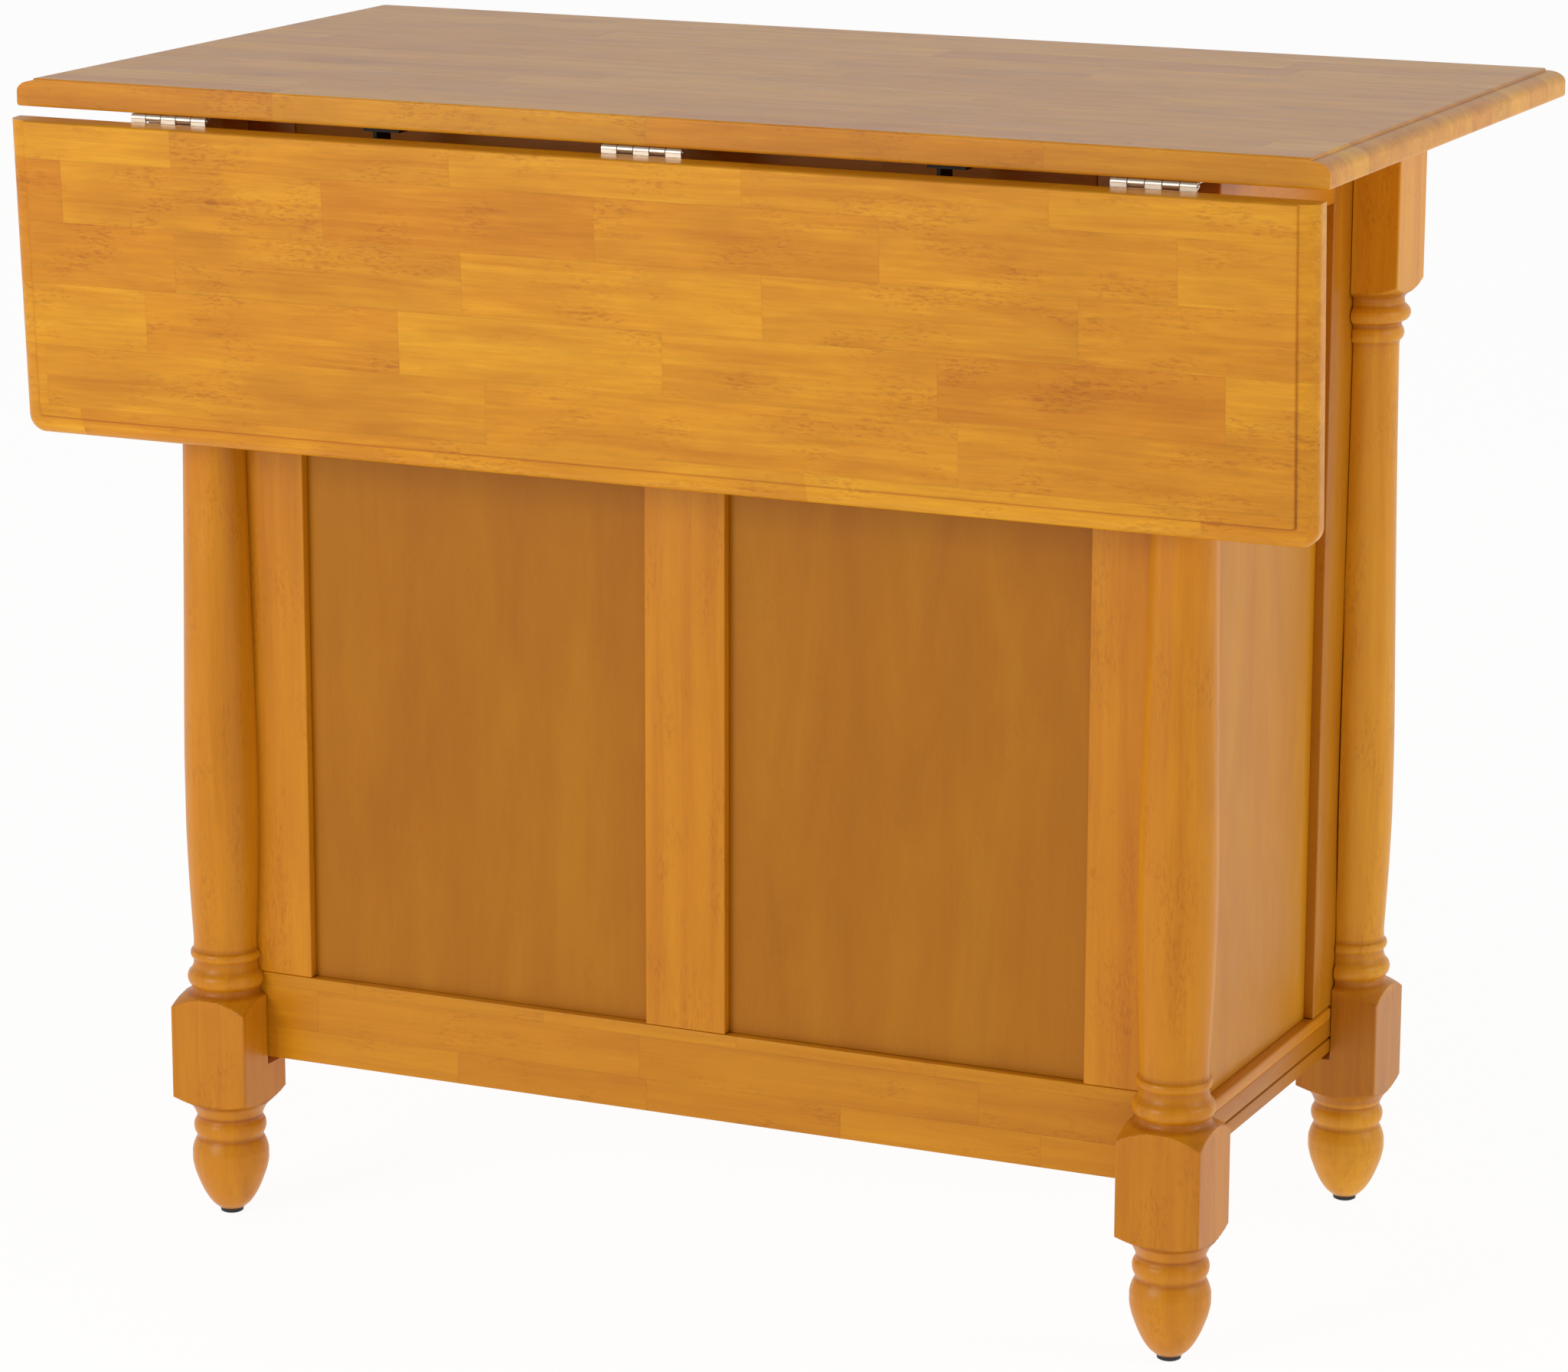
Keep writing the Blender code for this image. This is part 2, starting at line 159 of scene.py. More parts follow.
def dress(piece, material, body, replaces=()):
    # coats a new piece, and says which body carries it and the nodes it replaces
    coat(piece, material)
    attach(piece, body)
    if replaces:
        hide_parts(*replaces)
    return piece


def woodMaterial(name, look):
    # Stained rubberwood under satin lacquer: soft streaks, patches of short dark pores along
    # the grain and a few pin knots. With staves, the board is edge-glued strips, each with
    # its own tone and its own grain, and a thin glue line. The eye gets a warm, slightly
    # uneven honey colour with a soft sheen. Pores are drawn near 2 mm wide, coarser than
    # real, so that they show.
    material, tree = newMaterial(name)
    calc = calculator(tree)

    def vector(operation, first, second):
        return addNode(tree, "ShaderNodeVectorMath", {0: first, 1: second},
                       operation=operation).outputs[0]

    def multiply(colourIn, factor):
        return addNode(tree, "ShaderNodeVectorMath", {0: colourIn, "Scale": factor},
                       operation="SCALE").outputs[0]

    def stainedOrShaded(colourIn, amount):
        # darker the way more stain or painted shade is: blue and green go first, red stays longest
        less = addNode(tree, "ShaderNodeVectorMath", {0: (-0.72, -1.0, -1.1), "Scale": amount},
                       operation="SCALE").outputs[0]
        return vector("MULTIPLY", colourIn, vector("ADD", less, (1.0, 1.0, 1.0)))

    def remap(value, low, high, fromLow=0.3, fromHigh=0.7):
        return addNode(tree, "ShaderNodeMapRange",
                       {"Value": value, "From Min": fromLow, "From Max": fromHigh,
                        "To Min": low, "To Max": high}).outputs[0]

    def ramp(value, stops, low=0.0, high=1.0):
        node = addNode(tree, "ShaderNodeValToRGB", {"Fac": value})
        points = node.color_ramp.elements
        points[0].position, points[0].color = low, toLinear(stops[0])
        points[1].position, points[1].color = high, toLinear(stops[-1])
        for i, stop in enumerate(stops[1:-1], 1):
            points.new(low + (high - low) * i / (len(stops) - 1)).color = toLinear(stop)
        return node.outputs["Color"]

    place = addNode(tree, "ShaderNodeTexCoord").outputs["Object"]
    millimetres = vector("MULTIPLY", place, (1000.0,) * 3)
    axes = addNode(tree, "ShaderNodeSeparateXYZ", {0: millimetres}).outputs
    order = {"X": (0, 1, 2), "Y": (1, 0, 2), "Z": (2, 0, 1)}[look["grain"]]
    along, across, depth = (axes[i] for i in order)
    if look.get("rowsAlongDepth"):
        across, depth = depth, across
    seed = look["seed"]

    tone = glue = None
    shift = (seed * 37.1, seed * 91.7, seed * 53.3)
    if look.get("staveWidth"):
        # row = floor(across / width); each row has its own stave length and start
        rowPlace = calc("DIVIDE", calc("ADD", across, look["rowShift"]), look["staveWidth"])
        row = calc("FLOOR", rowPlace)
        rowRandom = addNode(tree, "ShaderNodeTexWhiteNoise", {"W": calc("ADD", row, seed)},
                            noise_dimensions="1D").outputs["Value"]
        length = calc("MULTIPLY_ADD", rowRandom, look["staveLength"] * 0.7,
                      look["staveLength"] * 0.65)
        stavePlace = calc("DIVIDE", calc("ADD", along, calc("MULTIPLY", rowRandom, 7919.0)),
                          length)
        stave = calc("FLOOR", stavePlace)
        ids = addNode(tree, "ShaderNodeCombineXYZ", {0: row, 1: stave, 2: seed}).outputs[0]
        random = addNode(tree, "ShaderNodeTexWhiteNoise", {"Vector": ids},
                         noise_dimensions="3D").outputs
        tone = random["Value"]
        # millimetres to the nearest glue line, beside the row or at the stave's ends
        rowPart, endPart = calc("FRACT", rowPlace), calc("FRACT", stavePlace)
        rowEdge = calc("MULTIPLY", calc("MINIMUM", rowPart, calc("SUBTRACT", 1.0, rowPart)),
                       look["staveWidth"])
        endEdge = calc("MULTIPLY", calc("MINIMUM", endPart, calc("SUBTRACT", 1.0, endPart)),
                       length)
        glue = remap(calc("MINIMUM", rowEdge, endEdge), look["glueDark"], 1.0, 0.2, 0.8)
        shift = vector("MULTIPLY", random["Color"], (613.0, 419.0, 283.0))

    line = addNode(tree, "ShaderNodeCombineXYZ", {0: along, 1: across, 2: depth}).outputs[0]
    moved = vector("ADD", line, shift)

    def streaks(alongMm, acrossMm, detail, distortion=0.0):
        # noise stretched so that one feature is alongMm long and acrossMm wide
        scaled = vector("MULTIPLY", moved, (1 / alongMm, 1 / acrossMm, 1 / acrossMm))
        return addNode(tree, "ShaderNodeTexNoise",
                       {"Vector": scaled, "Scale": 1.0, "Detail": detail,
                        "Roughness": 0.6, "Distortion": distortion}).outputs["Fac"]

    bands = streaks(look["bandLength"], look["bandWidth"], 4.0, 0.6)
    fibres = streaks(24.0, 0.9, 3.0)
    middle = streaks(70.0, 3.2, 3.0, 0.3)
    dashes = streaks(7.0, 2.0, 2.0)
    patch = streaks(70.0, 30.0, 3.0)
    cloud = streaks(90.0, 38.0, 3.0)

    colour = ramp(bands, look["colours"], 0.3, 0.7)
    colour = multiply(colour, remap(fibres, 1.0 - look["fibre"], 1.0 + look["fibre"]))
    colour = stainedOrShaded(colour, remap(middle, look["streak"], -look["streak"]))
    colour = stainedOrShaded(colour, remap(cloud, look["cloud"], -look["cloud"]))
    # pores are darkest where a patch of them is thick
    porous = remap(patch, 0.08, 1.0, 0.5, 0.62)
    pores = calc("MULTIPLY", remap(dashes, 0.0, 1.0, 0.50, 0.62), porous)
    colour = stainedOrShaded(colour, calc("MULTIPLY", pores, look["pore"]))
    if look.get("knots"):
        # a knot sits in some of the cells, 2 to 4 mm across with a brown halo
        cells = addNode(tree, "ShaderNodeTexVoronoi",
                        {"Vector": vector("MULTIPLY", moved, (1 / 95.0, 1 / 45.0, 1 / 45.0)),
                         "Scale": 1.0})
        chance = addNode(tree, "ShaderNodeSeparateXYZ", {0: cells.outputs["Color"]}).outputs[0]
        chosen = calc("GREATER_THAN", chance, 1.0 - look["knots"])
        heart = remap(cells.outputs["Distance"], 0.36, 0.0, 0.04, 0.11)
        halo = remap(cells.outputs["Distance"], 0.17, 0.0, 0.08, 0.42)
        dark = calc("MULTIPLY", chosen, calc("MAXIMUM", heart, halo))
        colour = stainedOrShaded(colour, dark)
    if tone is not None:
        tinted = addNode(tree, "ShaderNodeMix",
                         {0: 1.0, 6: colour, 7: ramp(tone, look["toneColours"])},
                         data_type="RGBA", blend_type="MULTIPLY")
        colour = multiply(tinted.outputs[2], glue)
    if look.get("crevice"):
        # painted shade from the crevice attribute: the step of the moulding, and the grooves, lower blocks and top
        # band of the legs
        shadeAmount = addNode(tree, "ShaderNodeAttribute", attribute_name="crevice").outputs["Fac"]
        colour = stainedOrShaded(colour, calc("MULTIPLY", shadeAmount, look["crevice"]))

    relief = calc("MULTIPLY_ADD", pores, -0.7, calc("MULTIPLY", fibres, 0.5))
    bump = addNode(tree, "ShaderNodeBump",
                   {"Height": relief, "Strength": 0.3, "Distance": 0.00012}).outputs[0]
    roughness = remap(middle, look["roughness"] - 0.04, look["roughness"] + 0.05)
    shader = addNode(tree, "ShaderNodeBsdfPrincipled",
                     {"Base Color": colour, "Roughness": roughness, "Normal": bump,
                      "IOR": look["ior"]})
    addNode(tree, "ShaderNodeOutputMaterial", {"Surface": shader.outputs[0]})
    return material


# lengths and widths are millimetres; streak, fibre, cloud and pore are how far each darkens
honey = {"colours": ("#C27609", "#CB7F0B", "#D1870F"), "bandLength": 320.0,
         "bandWidth": 16.0, "streak": 0.03, "fibre": 0.035, "cloud": 0.045, "pore": 0.16,
         "roughness": 0.36, "ior": 1.35}
# veneered flat panels: darker, close-grained and calm
panelTone = {"ior": 1.3, "colours": ("#A86405", "#AE6A07", "#B3710A"), "fibre": 0.018,
             "streak": 0.012, "cloud": 0.04, "pore": 0.05, "bandWidth": 60.0}
# the butcher block: strips of mixed tone, knots and patches of open pores
staveTone = {"colours": ("#CF8710", "#D79115", "#DD9B1B"),
             "toneColours": ("#F0DCC6", "#F8EFE4", "#F4EADC", "#FFFBF2", "#FFFFFF", "#F8ECDA"),
             "staveWidth": 48.0, "staveLength": 300.0, "rowShift": 0.0, "knots": 0.22,
             "glueDark": 0.93, "bandLength": 180.0, "bandWidth": 10.0, "streak": 0.085,
             "cloud": 0.11, "fibre": 0.045, "pore": 0.24}
# boards inside the case: pale wood, sanded and sealed but not stained
innerTone = {"colours": ("#C99B62", "#D8AE78", "#E2BE8C"), "roughness": 0.55}


def honeyWood(name, grain, seed, **changes):
    # the honey stain with this board's own grain direction, seed and changes
    return woodMaterial(name, {**honey, "grain": grain, "seed": seed, **changes})


# crevice sets how dark the painted shade is in the step of the moulding
topWood = woodMaterial("lacqueredButcherBlock",
                       {**honey, **staveTone, "grain": "X", "seed": 11.0, "crevice": 0.45,
                        "colours": ("#D18B0F", "#D99514", "#DFA01A")})
leafWood = woodMaterial("lacqueredButcherBlockLeaf",
                        {**honey, **staveTone, "grain": "X", "seed": 23.0, "crevice": 0.45,
                         "rowsAlongDepth": True, "rowShift": 8.0})


def metalMaterial(name, look):
    # A plain surface with fine scratches that break up its highlight. Their spacing is
    # 1000 / scratchScale millimetres, coarser than real ones.
    material, tree = newMaterial(name)
    place = addNode(tree, "ShaderNodeTexCoord").outputs["Object"]
    scaled = addNode(tree, "ShaderNodeVectorMath", {0: place, 1: look["scratchScale"]},
                     operation="MULTIPLY").outputs[0]
    scratches = addNode(tree, "ShaderNodeTexNoise",
                        {"Vector": scaled, "Scale": 1.0, "Detail": 3.0}).outputs["Fac"]
    roughness = addNode(tree, "ShaderNodeMapRange",
                        {"Value": scratches, "To Min": look["roughness"] - 0.08,
                         "To Max": look["roughness"] + 0.1}).outputs[0]
    bump = addNode(tree, "ShaderNodeBump", {"Height": scratches, "Strength": 0.15,
                                            "Distance": 0.00005}).outputs[0]
    shader = addNode(tree, "ShaderNodeBsdfPrincipled",
                     {"Base Color": toLinear(look["colour"]), "Metallic": look["metallic"],
                      "Roughness": roughness, "Normal": bump})
    addNode(tree, "ShaderNodeOutputMaterial", {"Surface": shader.outputs[0]})
    return material


# nickel plate brushed lengthwise: pale and warm, with a stretched highlight
nickel = metalMaterial("brushedNickel", {"colour": "#D9CFBD", "metallic": 1.0,
                                         "roughness": 0.34,
                                         "scratchScale": (120.0, 4000.0, 4000.0)})
# nylon as it leaves the mould: black, nearly matt
blackNylon = metalMaterial("mouldedBlackNylon", {"colour": "#1B1714", "metallic": 0.0,
                                                 "roughness": 0.55,
                                                 "scratchScale": (900.0, 900.0, 900.0)})
# painted shade: the supports are coloured dark brown-black so that they stay as dark as the shade in the gap under
# the top
shadeSteel = metalMaterial("blackenedSteel", {"colour": "#2A2723", "metallic": 1.0,
                                              "roughness": 0.5,
                                              "scratchScale": (600.0, 600.0, 600.0)})
print("materials made")

mould = {"stepIn": 15.0, "stepDrop": 2.0, "roundDrop": 8.5, "corner": 14.0,
         "ease": 1.0, "roundSteps": 22, "cornerSteps": 14}


def mouldedBoard(low, high, squareSide):
    # Loops of one outline, each drawn in by inset(k) and down by drop(k): a fillet, a step,
    # then a quarter ellipse inset = a (1 - sin t), drop = s + b (1 - cos t), an upright
    # edge and a small round below. The square side only has its corners eased.
    thick = (high[2] - low[2]) / mm
    a = mould["stepIn"] - 0.6
    t = np.radians(np.linspace(0, 90, mould["roundSteps"]))
    inset = np.concatenate(([mould["stepIn"] + 1.2, mould["stepIn"] + 0.5, mould["stepIn"] + 0.1,
                             mould["stepIn"] - 0.1, a + 0.35, a + 0.12],
                            a * (1 - np.sin(t)),
                            [0.0, 0.12, 0.45, 1.0, 1.8]))
    drop = np.concatenate(([0.0, 0.0, 0.08, 0.35, mould["stepDrop"] - 0.35,
                            mould["stepDrop"] - 0.08],
                           mould["stepDrop"] + mould["roundDrop"] * (1 - np.cos(t)),
                           [thick - 2.4, thick - 1.5, thick - 0.8, thick - 0.25, thick]))
    easeTop = np.clip(mould["ease"] - drop, 0, None) * (drop < mould["ease"])
    easeLow = np.clip(drop - thick + mould["ease"], 0, None)
    square = (easeTop + easeLow) * mm
    sign = 1.0 if squareSide == "low" else -1.0
    ySquare = low[1] if squareSide == "low" else high[1]
    yOut = high[1] if squareSide == "low" else low[1]
    ins, dr = inset[:, None] * mm, drop[:, None] * mm
    radius = np.maximum(mould["corner"] * mm - ins, 2.5 * mm)
    q = np.radians(np.linspace(0, 90, mould["cornerSteps"]))[None, :]
    xa, xb, yo = low[0] + ins, high[0] - ins, yOut - sign * ins
    xs = np.concatenate((xa, xb, xb - radius + radius * np.cos(q),
                         xa + radius - radius * np.sin(q)), 1)
    ys = np.concatenate((ySquare + sign * square[:, None], ySquare + sign * square[:, None],
                         yo - sign * (radius - radius * np.sin(q)),
                         yo - sign * (radius - radius * np.cos(q))), 1)
    zs = np.broadcast_to(high[2] - dr, xs.shape)
    vertices = np.stack((xs, ys, zs), -1).reshape(-1, 3)
    # painted shade: 1 in the corner of the step, fading within a millimetre or so; none on the square side
    near = np.exp(-((inset - a - 0.1) / 0.9) ** 2)[:, None] * np.ones(xs.shape)
    near[:, :2] = 0.0
    return vertices, gridFaces(len(inset), xs.shape[1], flip=(sign > 0)), near.ravel()


def markPaintedShade(piece, values):
    # how much painted shade each vertex carries, 0 to 1, for the wood to read
    attribute = piece.data.attributes.new("crevice", "FLOAT", "POINT")
    attribute.data.foreach_set("value", values.astype(np.float32))


low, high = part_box("butcher_block_top")
vertices, faces, crevice = mouldedBoard(low, high, "low")
top = dress(meshObject("topBoard", vertices, faces), topWood, "cabinet",
            ["butcher_block_top"])
markPaintedShade(top, crevice)

# the leaf is drawn raised, level with the top, then turned about the hinge pin to hang
leafPlace = {"gap": 1.5, "length": 244.5, "left": 4.0, "right": 1054.0, "swing": 93.0}
pin = np.array(joints["leaf_hinge"]["pos_m"])
leafLow = (low[0] + leafPlace["left"] * mm,
           low[1] - (leafPlace["gap"] + leafPlace["length"]) * mm, low[2])
leafHigh = (low[0] + leafPlace["right"] * mm, low[1] - leafPlace["gap"] * mm, high[2])


def swingDown(points, degrees=leafPlace["swing"]):
    # turn about the X line through the pin: y' = y cos - z sin, z' = y sin + z cos
    c, s = math.cos(math.radians(degrees)), math.sin(math.radians(degrees))
    d = np.asarray(points, float) - pin
    return pin + np.stack((d[:, 0], d[:, 1] * c - d[:, 2] * s, d[:, 1] * s + d[:, 2] * c), -1)


vertices, faces, crevice = mouldedBoard(leafLow, leafHigh, "high")
leaf = dress(meshObject("leafBoard", swingDown(vertices), faces), leafWood, "leaf",
             ["drop_leaf"])
markPaintedShade(leaf, crevice)
print("top and leaf moulded")

legTurning = {
    "points": ((4.3, 10.5), (9.0, 15.6), (15.7, 20.2), (22.0, 23.4), (30.0, 26.6),
               (38.0, 29.2), (46.0, 30.5), (52.0, 30.5), (57.5, 29.4), (62.0, 27.6),
               (64.6, 26.4), (67.0, 27.0), (70.0, 28.4), (73.5, 28.9), (77.0, 28.3),
               (80.0, 26.6), (82.5, 26.2), (85.0, 27.0), (91.0, 30.2), (94.5, 33.4),
               (97.0, 38.6), (99.5, 44.0), (101.5, 48.0), (103.5, 52.0), (170.0, 52.0),
               (172.5, 48.6), (176.0, 45.0), (180.0, 39.8), (183.5, 34.0), (186.5, 29.0),
               (189.5, 28.0), (191.0, 28.4), (193.5, 30.2), (197.5, 31.2), (201.5, 30.2),
               (204.0, 28.0), (207.0, 26.6), (210.5, 26.0), (213.0, 26.4), (214.5, 27.8),
               (217.0, 28.5), (219.5, 27.8), (221.0, 26.0), (228.0, 25.7), (242.0, 26.4),
               (262.0, 27.4), (290.0, 28.6), (330.0, 29.5), (370.0, 29.5), (410.0, 29.0),
               (460.0, 28.0), (510.0, 27.0), (570.0, 25.9), (630.0, 25.0), (680.0, 24.5),
               (703.0, 24.3), (706.0, 24.8), (708.0, 26.8), (712.0, 27.9), (716.0, 26.8),
               (718.0, 25.6), (720.5, 26.0), (722.5, 29.6), (725.0, 31.8), (728.0, 32.6),
               (731.0, 31.8), (733.5, 29.6), (735.5, 27.8), (740.0, 27.4), (743.0, 29.6),
               (745.5, 33.4), (748.0, 39.0), (751.0, 44.5), (754.0, 49.0), (756.0, 52.0),
               (892.1, 52.0)),
    "spokes": 144, "edgeRound": 1.6, "clear": 0.3, "grooveReach": 7.0, "grooveDepth": 1.8,
    "crevice": 0.42, "blockFrom": 84.0, "blockTo": 196.0, "topBandFrom": 876.0,
    "topBandStain": 0.9,
    # height and strength of the painted shade line in each turned groove, and half the line's width
    "grooves": ((64.6, 0.8), (82.5, 1.2), (189.0, 0.8), (210.5, 0.5), (222.0, 0.6),
                (704.5, 0.6), (718.5, 0.9), (738.5, 0.8)), "grooveLine": 1.5,
    # painted shade on each leg's lower block, darkest on the far right leg, whose block the case shades
    "blockStain": {"leg_far_right": 1.0, "leg_near_right": 0.3, "leg_near_left": 0.25},
}


def smoothProfile(points, step):
    # radius against height through the points, a monotone cubic on each stretch
    h, r = np.array(points, float).T
    slope = np.diff(r) / np.diff(h)
    tangent = np.zeros(len(h))
    same = slope[1:] * slope[:-1] > 0
    tangent[1:-1][same] = 2 * slope[1:][same] * slope[:-1][same] / (
        slope[1:][same] + slope[:-1][same])
    tangent[0], tangent[-1] = slope[0], slope[-1]
    heights = []
    for i in range(len(h) - 1):
        steep = h[i + 1] - h[i] < 12 and not (r[i] > 51 and r[i + 1] > 51)
        count = max(1, int(round((h[i + 1] - h[i]) / (step if steep else 8 * step))))
        heights.append(np.linspace(h[i], h[i + 1], count, endpoint=False))
    z = np.concatenate(heights + [h[-1:]])
    k = np.clip(np.searchsorted(h, z, side="right") - 1, 0, len(h) - 2)
    w = h[k + 1] - h[k]
    u = (z - h[k]) / w
    value = ((2 * u**3 - 3 * u**2 + 1) * r[k] + (u**3 - 2 * u**2 + u) * w * tangent[k]
             + (-2 * u**3 + 3 * u**2) * r[k + 1] + (u**3 - u**2) * w * tangent[k + 1])
    return z, value


def turnedLeg(name, low, high, case, blockStain=0.0):
    # Distance from the leg's centre at angle a and height z is the least of three:
    # the turned radius r(z); the square stock with rounded edges; and, beside the case,
    # the inner corner cut away for it, max(dx / cos a, dy / sin a) in that quarter.
    centre = (np.array(low[:2]) + np.array(high[:2])) / 2
    half = (high[0] - low[0]) / 2
    z, r = smoothProfile(legTurning["points"], 0.9)
    # every spoke set holds the four corners and the four ends of each rounded edge
    a = np.unique(np.round(np.concatenate((
        np.linspace(0, 2 * np.pi, legTurning["spokes"], endpoint=False),
        [np.pi / 4 + k * np.pi / 2 + d for k in range(4)
         for d in (-0.05, -0.034, -0.017, 0.0, 0.017, 0.034, 0.05)])), 5))
    c, s = np.cos(a), np.sin(a)
    stock = half / np.maximum(np.abs(c), np.abs(s))
    edgeRound = legTurning["edgeRound"] * mm
    inner = half - edgeRound
    # ray against the small circle at each stock corner
    small = np.abs(c) + np.abs(s)
    reach = inner * small + np.sqrt(np.maximum((inner * small) ** 2
                                               - 2 * inner**2 + edgeRound**2, 0))
    nearCorner = np.minimum(np.abs(c), np.abs(s)) * stock > inner
    stock = np.where(nearCorner, reach, stock)
    radius = np.minimum(r[:, None] * mm, stock[None, :])
    signX = 1.0 if centre[0] < (case[0][0] + case[1][0]) / 2 else -1.0
    signY = 1.0 if centre[1] < (case[0][1] + case[1][1]) / 2 else -1.0
    clear = legTurning["clear"] * mm
    dx = abs((case[0][0] if signX > 0 else case[1][0]) - centre[0]) - clear
    dy = abs((case[0][1] if signY > 0 else case[1][1]) - centre[1]) - clear
    with np.errstate(divide="ignore"):
        cut = np.maximum(np.where(c * signX > 1e-6, dx / np.abs(c), np.inf),
                         np.where(s * signY > 1e-6, dy / np.abs(s), np.inf))
    beside = (z * mm >= case[0][2] - clear)[:, None]
    radius = np.where(beside, np.minimum(radius, cut[None, :]), radius)
    x = centre[0] + radius * c
    y = centre[1] + radius * s
    vertices = np.stack((x, y, np.broadcast_to(z[:, None] * mm, x.shape)), -1).reshape(-1, 3)
    leg = meshObject(name, vertices, gridFaces(len(z), len(a)), 28.0)
    # painted shade: darker where the profile dips below the mean of the heights just above and below it, and on
    # the lower block, darkened for the shade the case casts on it
    reach = legTurning["grooveReach"]
    mean = (np.interp(z - reach / 2, z, r) + np.interp(z + reach / 2, z, r)) / 2
    shadeAmount = np.clip((mean - r) / legTurning["grooveDepth"], 0, 1)
    at, strength = np.array(legTurning["grooves"]).T
    lines = strength * np.exp(-((z[:, None] - at) / legTurning["grooveLine"]) ** 2)
    shadeAmount = np.maximum(shadeAmount, lines.max(1))
    block = (np.clip((z - legTurning["blockFrom"]) / 4.0, 0, 1)
             * np.clip((legTurning["blockTo"] - z) / 20.0, 0, 1))
    shadeAmount = np.maximum(shadeAmount, blockStain * block)
    if blockStain:
        # painted shade: the last millimetres under the top are darker, for the shade under the top
        band = np.clip((z - legTurning["topBandFrom"]) / 8.0, 0, 1)
        shadeAmount = np.maximum(shadeAmount, legTurning["topBandStain"] * band)
    markPaintedShade(leg, np.repeat(shadeAmount, len(a)))
    return leg


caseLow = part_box("back_bottom_rail")[0]
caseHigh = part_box("face_bottom_rail")[1]
# painted light: the far right leg is coloured lighter, for the light that falls on it from the right
litLegTone = {"leg_far_right": {"colours": ("#D08714", "#D99218", "#DF9B1D")}}
for i, node in enumerate(("leg_near_left", "leg_near_right", "leg_far_left", "leg_far_right")):
    wood = honeyWood(node + "Wood", "Z", 31.0 + 3 * i, crevice=legTurning["crevice"],
                     **litLegTone.get(node, {}))
    leg = turnedLeg(node.replace("leg_", "turnedLeg_"), *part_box(node), (caseLow, caseHigh),
                    legTurning["blockStain"].get(node, 0.0))
    dress(leg, wood, "cabinet", [node])
print("legs turned")

knobTurning = {"points": ((0.0, 8.0), (1.5, 8.0), (3.0, 6.4), (9.0, 6.0), (12.0, 8.0),
                          (15.0, 13.0), (18.5, 16.0), (22.0, 16.0), (25.0, 13.0),
                          (26.5, 8.0), (27.0, 2.0)), "spokes": 48}
glideTurning = {"points": ((0.0, 7.6), (0.8, 9.0), (4.0, 9.4)), "spokes": 48}


for node, body in (("drawer_knob_left", "drawer"), ("drawer_knob_right", "drawer"),
                   ("door_knob_left", "door_left"), ("door_knob_right", "door_right")):
    low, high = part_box(node)
    base = ((low[0] + high[0]) / 2, low[1], (low[2] + high[2]) / 2)
    profile = np.stack(smoothProfile(knobTurning["points"], 0.5), 1)
    knob = meshObject(node.replace("_knob", "Knob"),
                      *revolved(profile, base, "Y", knobTurning["spokes"]), 40.0)
    dress(knob, honeyWood(node + "Wood", "Y", 51.0), body, [node])
for node in ("glide_near_left", "glide_near_right", "glide_far_left", "glide_far_right"):
    low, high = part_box(node)
    base = ((low[0] + high[0]) / 2, (low[1] + high[1]) / 2, 0.0)
    glide = meshObject(node.replace("glide", "footGlide"),
                       *revolved(glideTurning["points"], base, "Z", glideTurning["spokes"]))
    dress(glide, blackNylon, "cabinet", [node])
print("knobs and glides turned")

hinge = {"knuckle": 13.0, "knuckles": 5, "radius": 2.95, "clear": 0.15, "pinRadius": 1.3,
         "plateDeep": 3.6, "plateTop": 0.3, "plateUnder": 1.9, "leafPlate": 36.0,
         "screwAcross": (10.0, 32.5, 55.0), "screwIn": (13.0, 24.0, 13.0),
         "screw": ((-0.2, 3.4), (0.1, 3.4), (0.35, 3.0), (0.5, 2.2), (0.55, 1.2),
                   (0.3, 1.0), (0.3, 0.2))}


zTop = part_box("butcher_block_top")[0][2] - hinge["plateTop"] * mm
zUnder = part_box("butcher_block_top")[0][2] - hinge["plateUnder"] * mm
pinRound = hinge["pinRadius"]


def hingeHalf(xFrom, yEnd, own, side):
    # One half drawn flat: an eased plate, a tongue to each of its knuckles, the knuckles as
    # tubes with chamfered ends, and domed screw heads under the plate.
    k, r = hinge["knuckle"], hinge["radius"]
    y0, y1 = sorted((pin[1] + side * hinge["plateDeep"] * mm, yEnd))
    wide = hinge["knuckles"] * k * mm
    parts = [easedBox((xFrom, y0, zUnder), (xFrom + wide, y1, zTop), 0.5 * mm, 3)]
    for n in own:
        a, b = n * k + hinge["clear"], (n + 1) * k - hinge["clear"]
        ya, yb = sorted((pin[1] - side * 0.2 * mm, pin[1] + side * 4.2 * mm))
        parts.append(easedBox((xFrom + a * mm, ya, zUnder), (xFrom + b * mm, yb, zTop),
                              0.3 * mm, 2))
        parts.append(revolved(((0, r - 0.45), (0.12, r - 0.2), (0.4, r), (b - a - 0.4, r),
                               (b - a - 0.12, r - 0.2), (b - a, r - 0.45)),
                              (xFrom + a * mm, pin[1], pin[2]), "X"))
    for across, inward in zip(hinge["screwAcross"], hinge["screwIn"]):
        parts.append(revolved(hinge["screw"], (xFrom + across * mm,
                                               pin[1] + side * inward * mm, zUnder),
                              "Z", 24, sign=-1.0))
    return joined(parts)


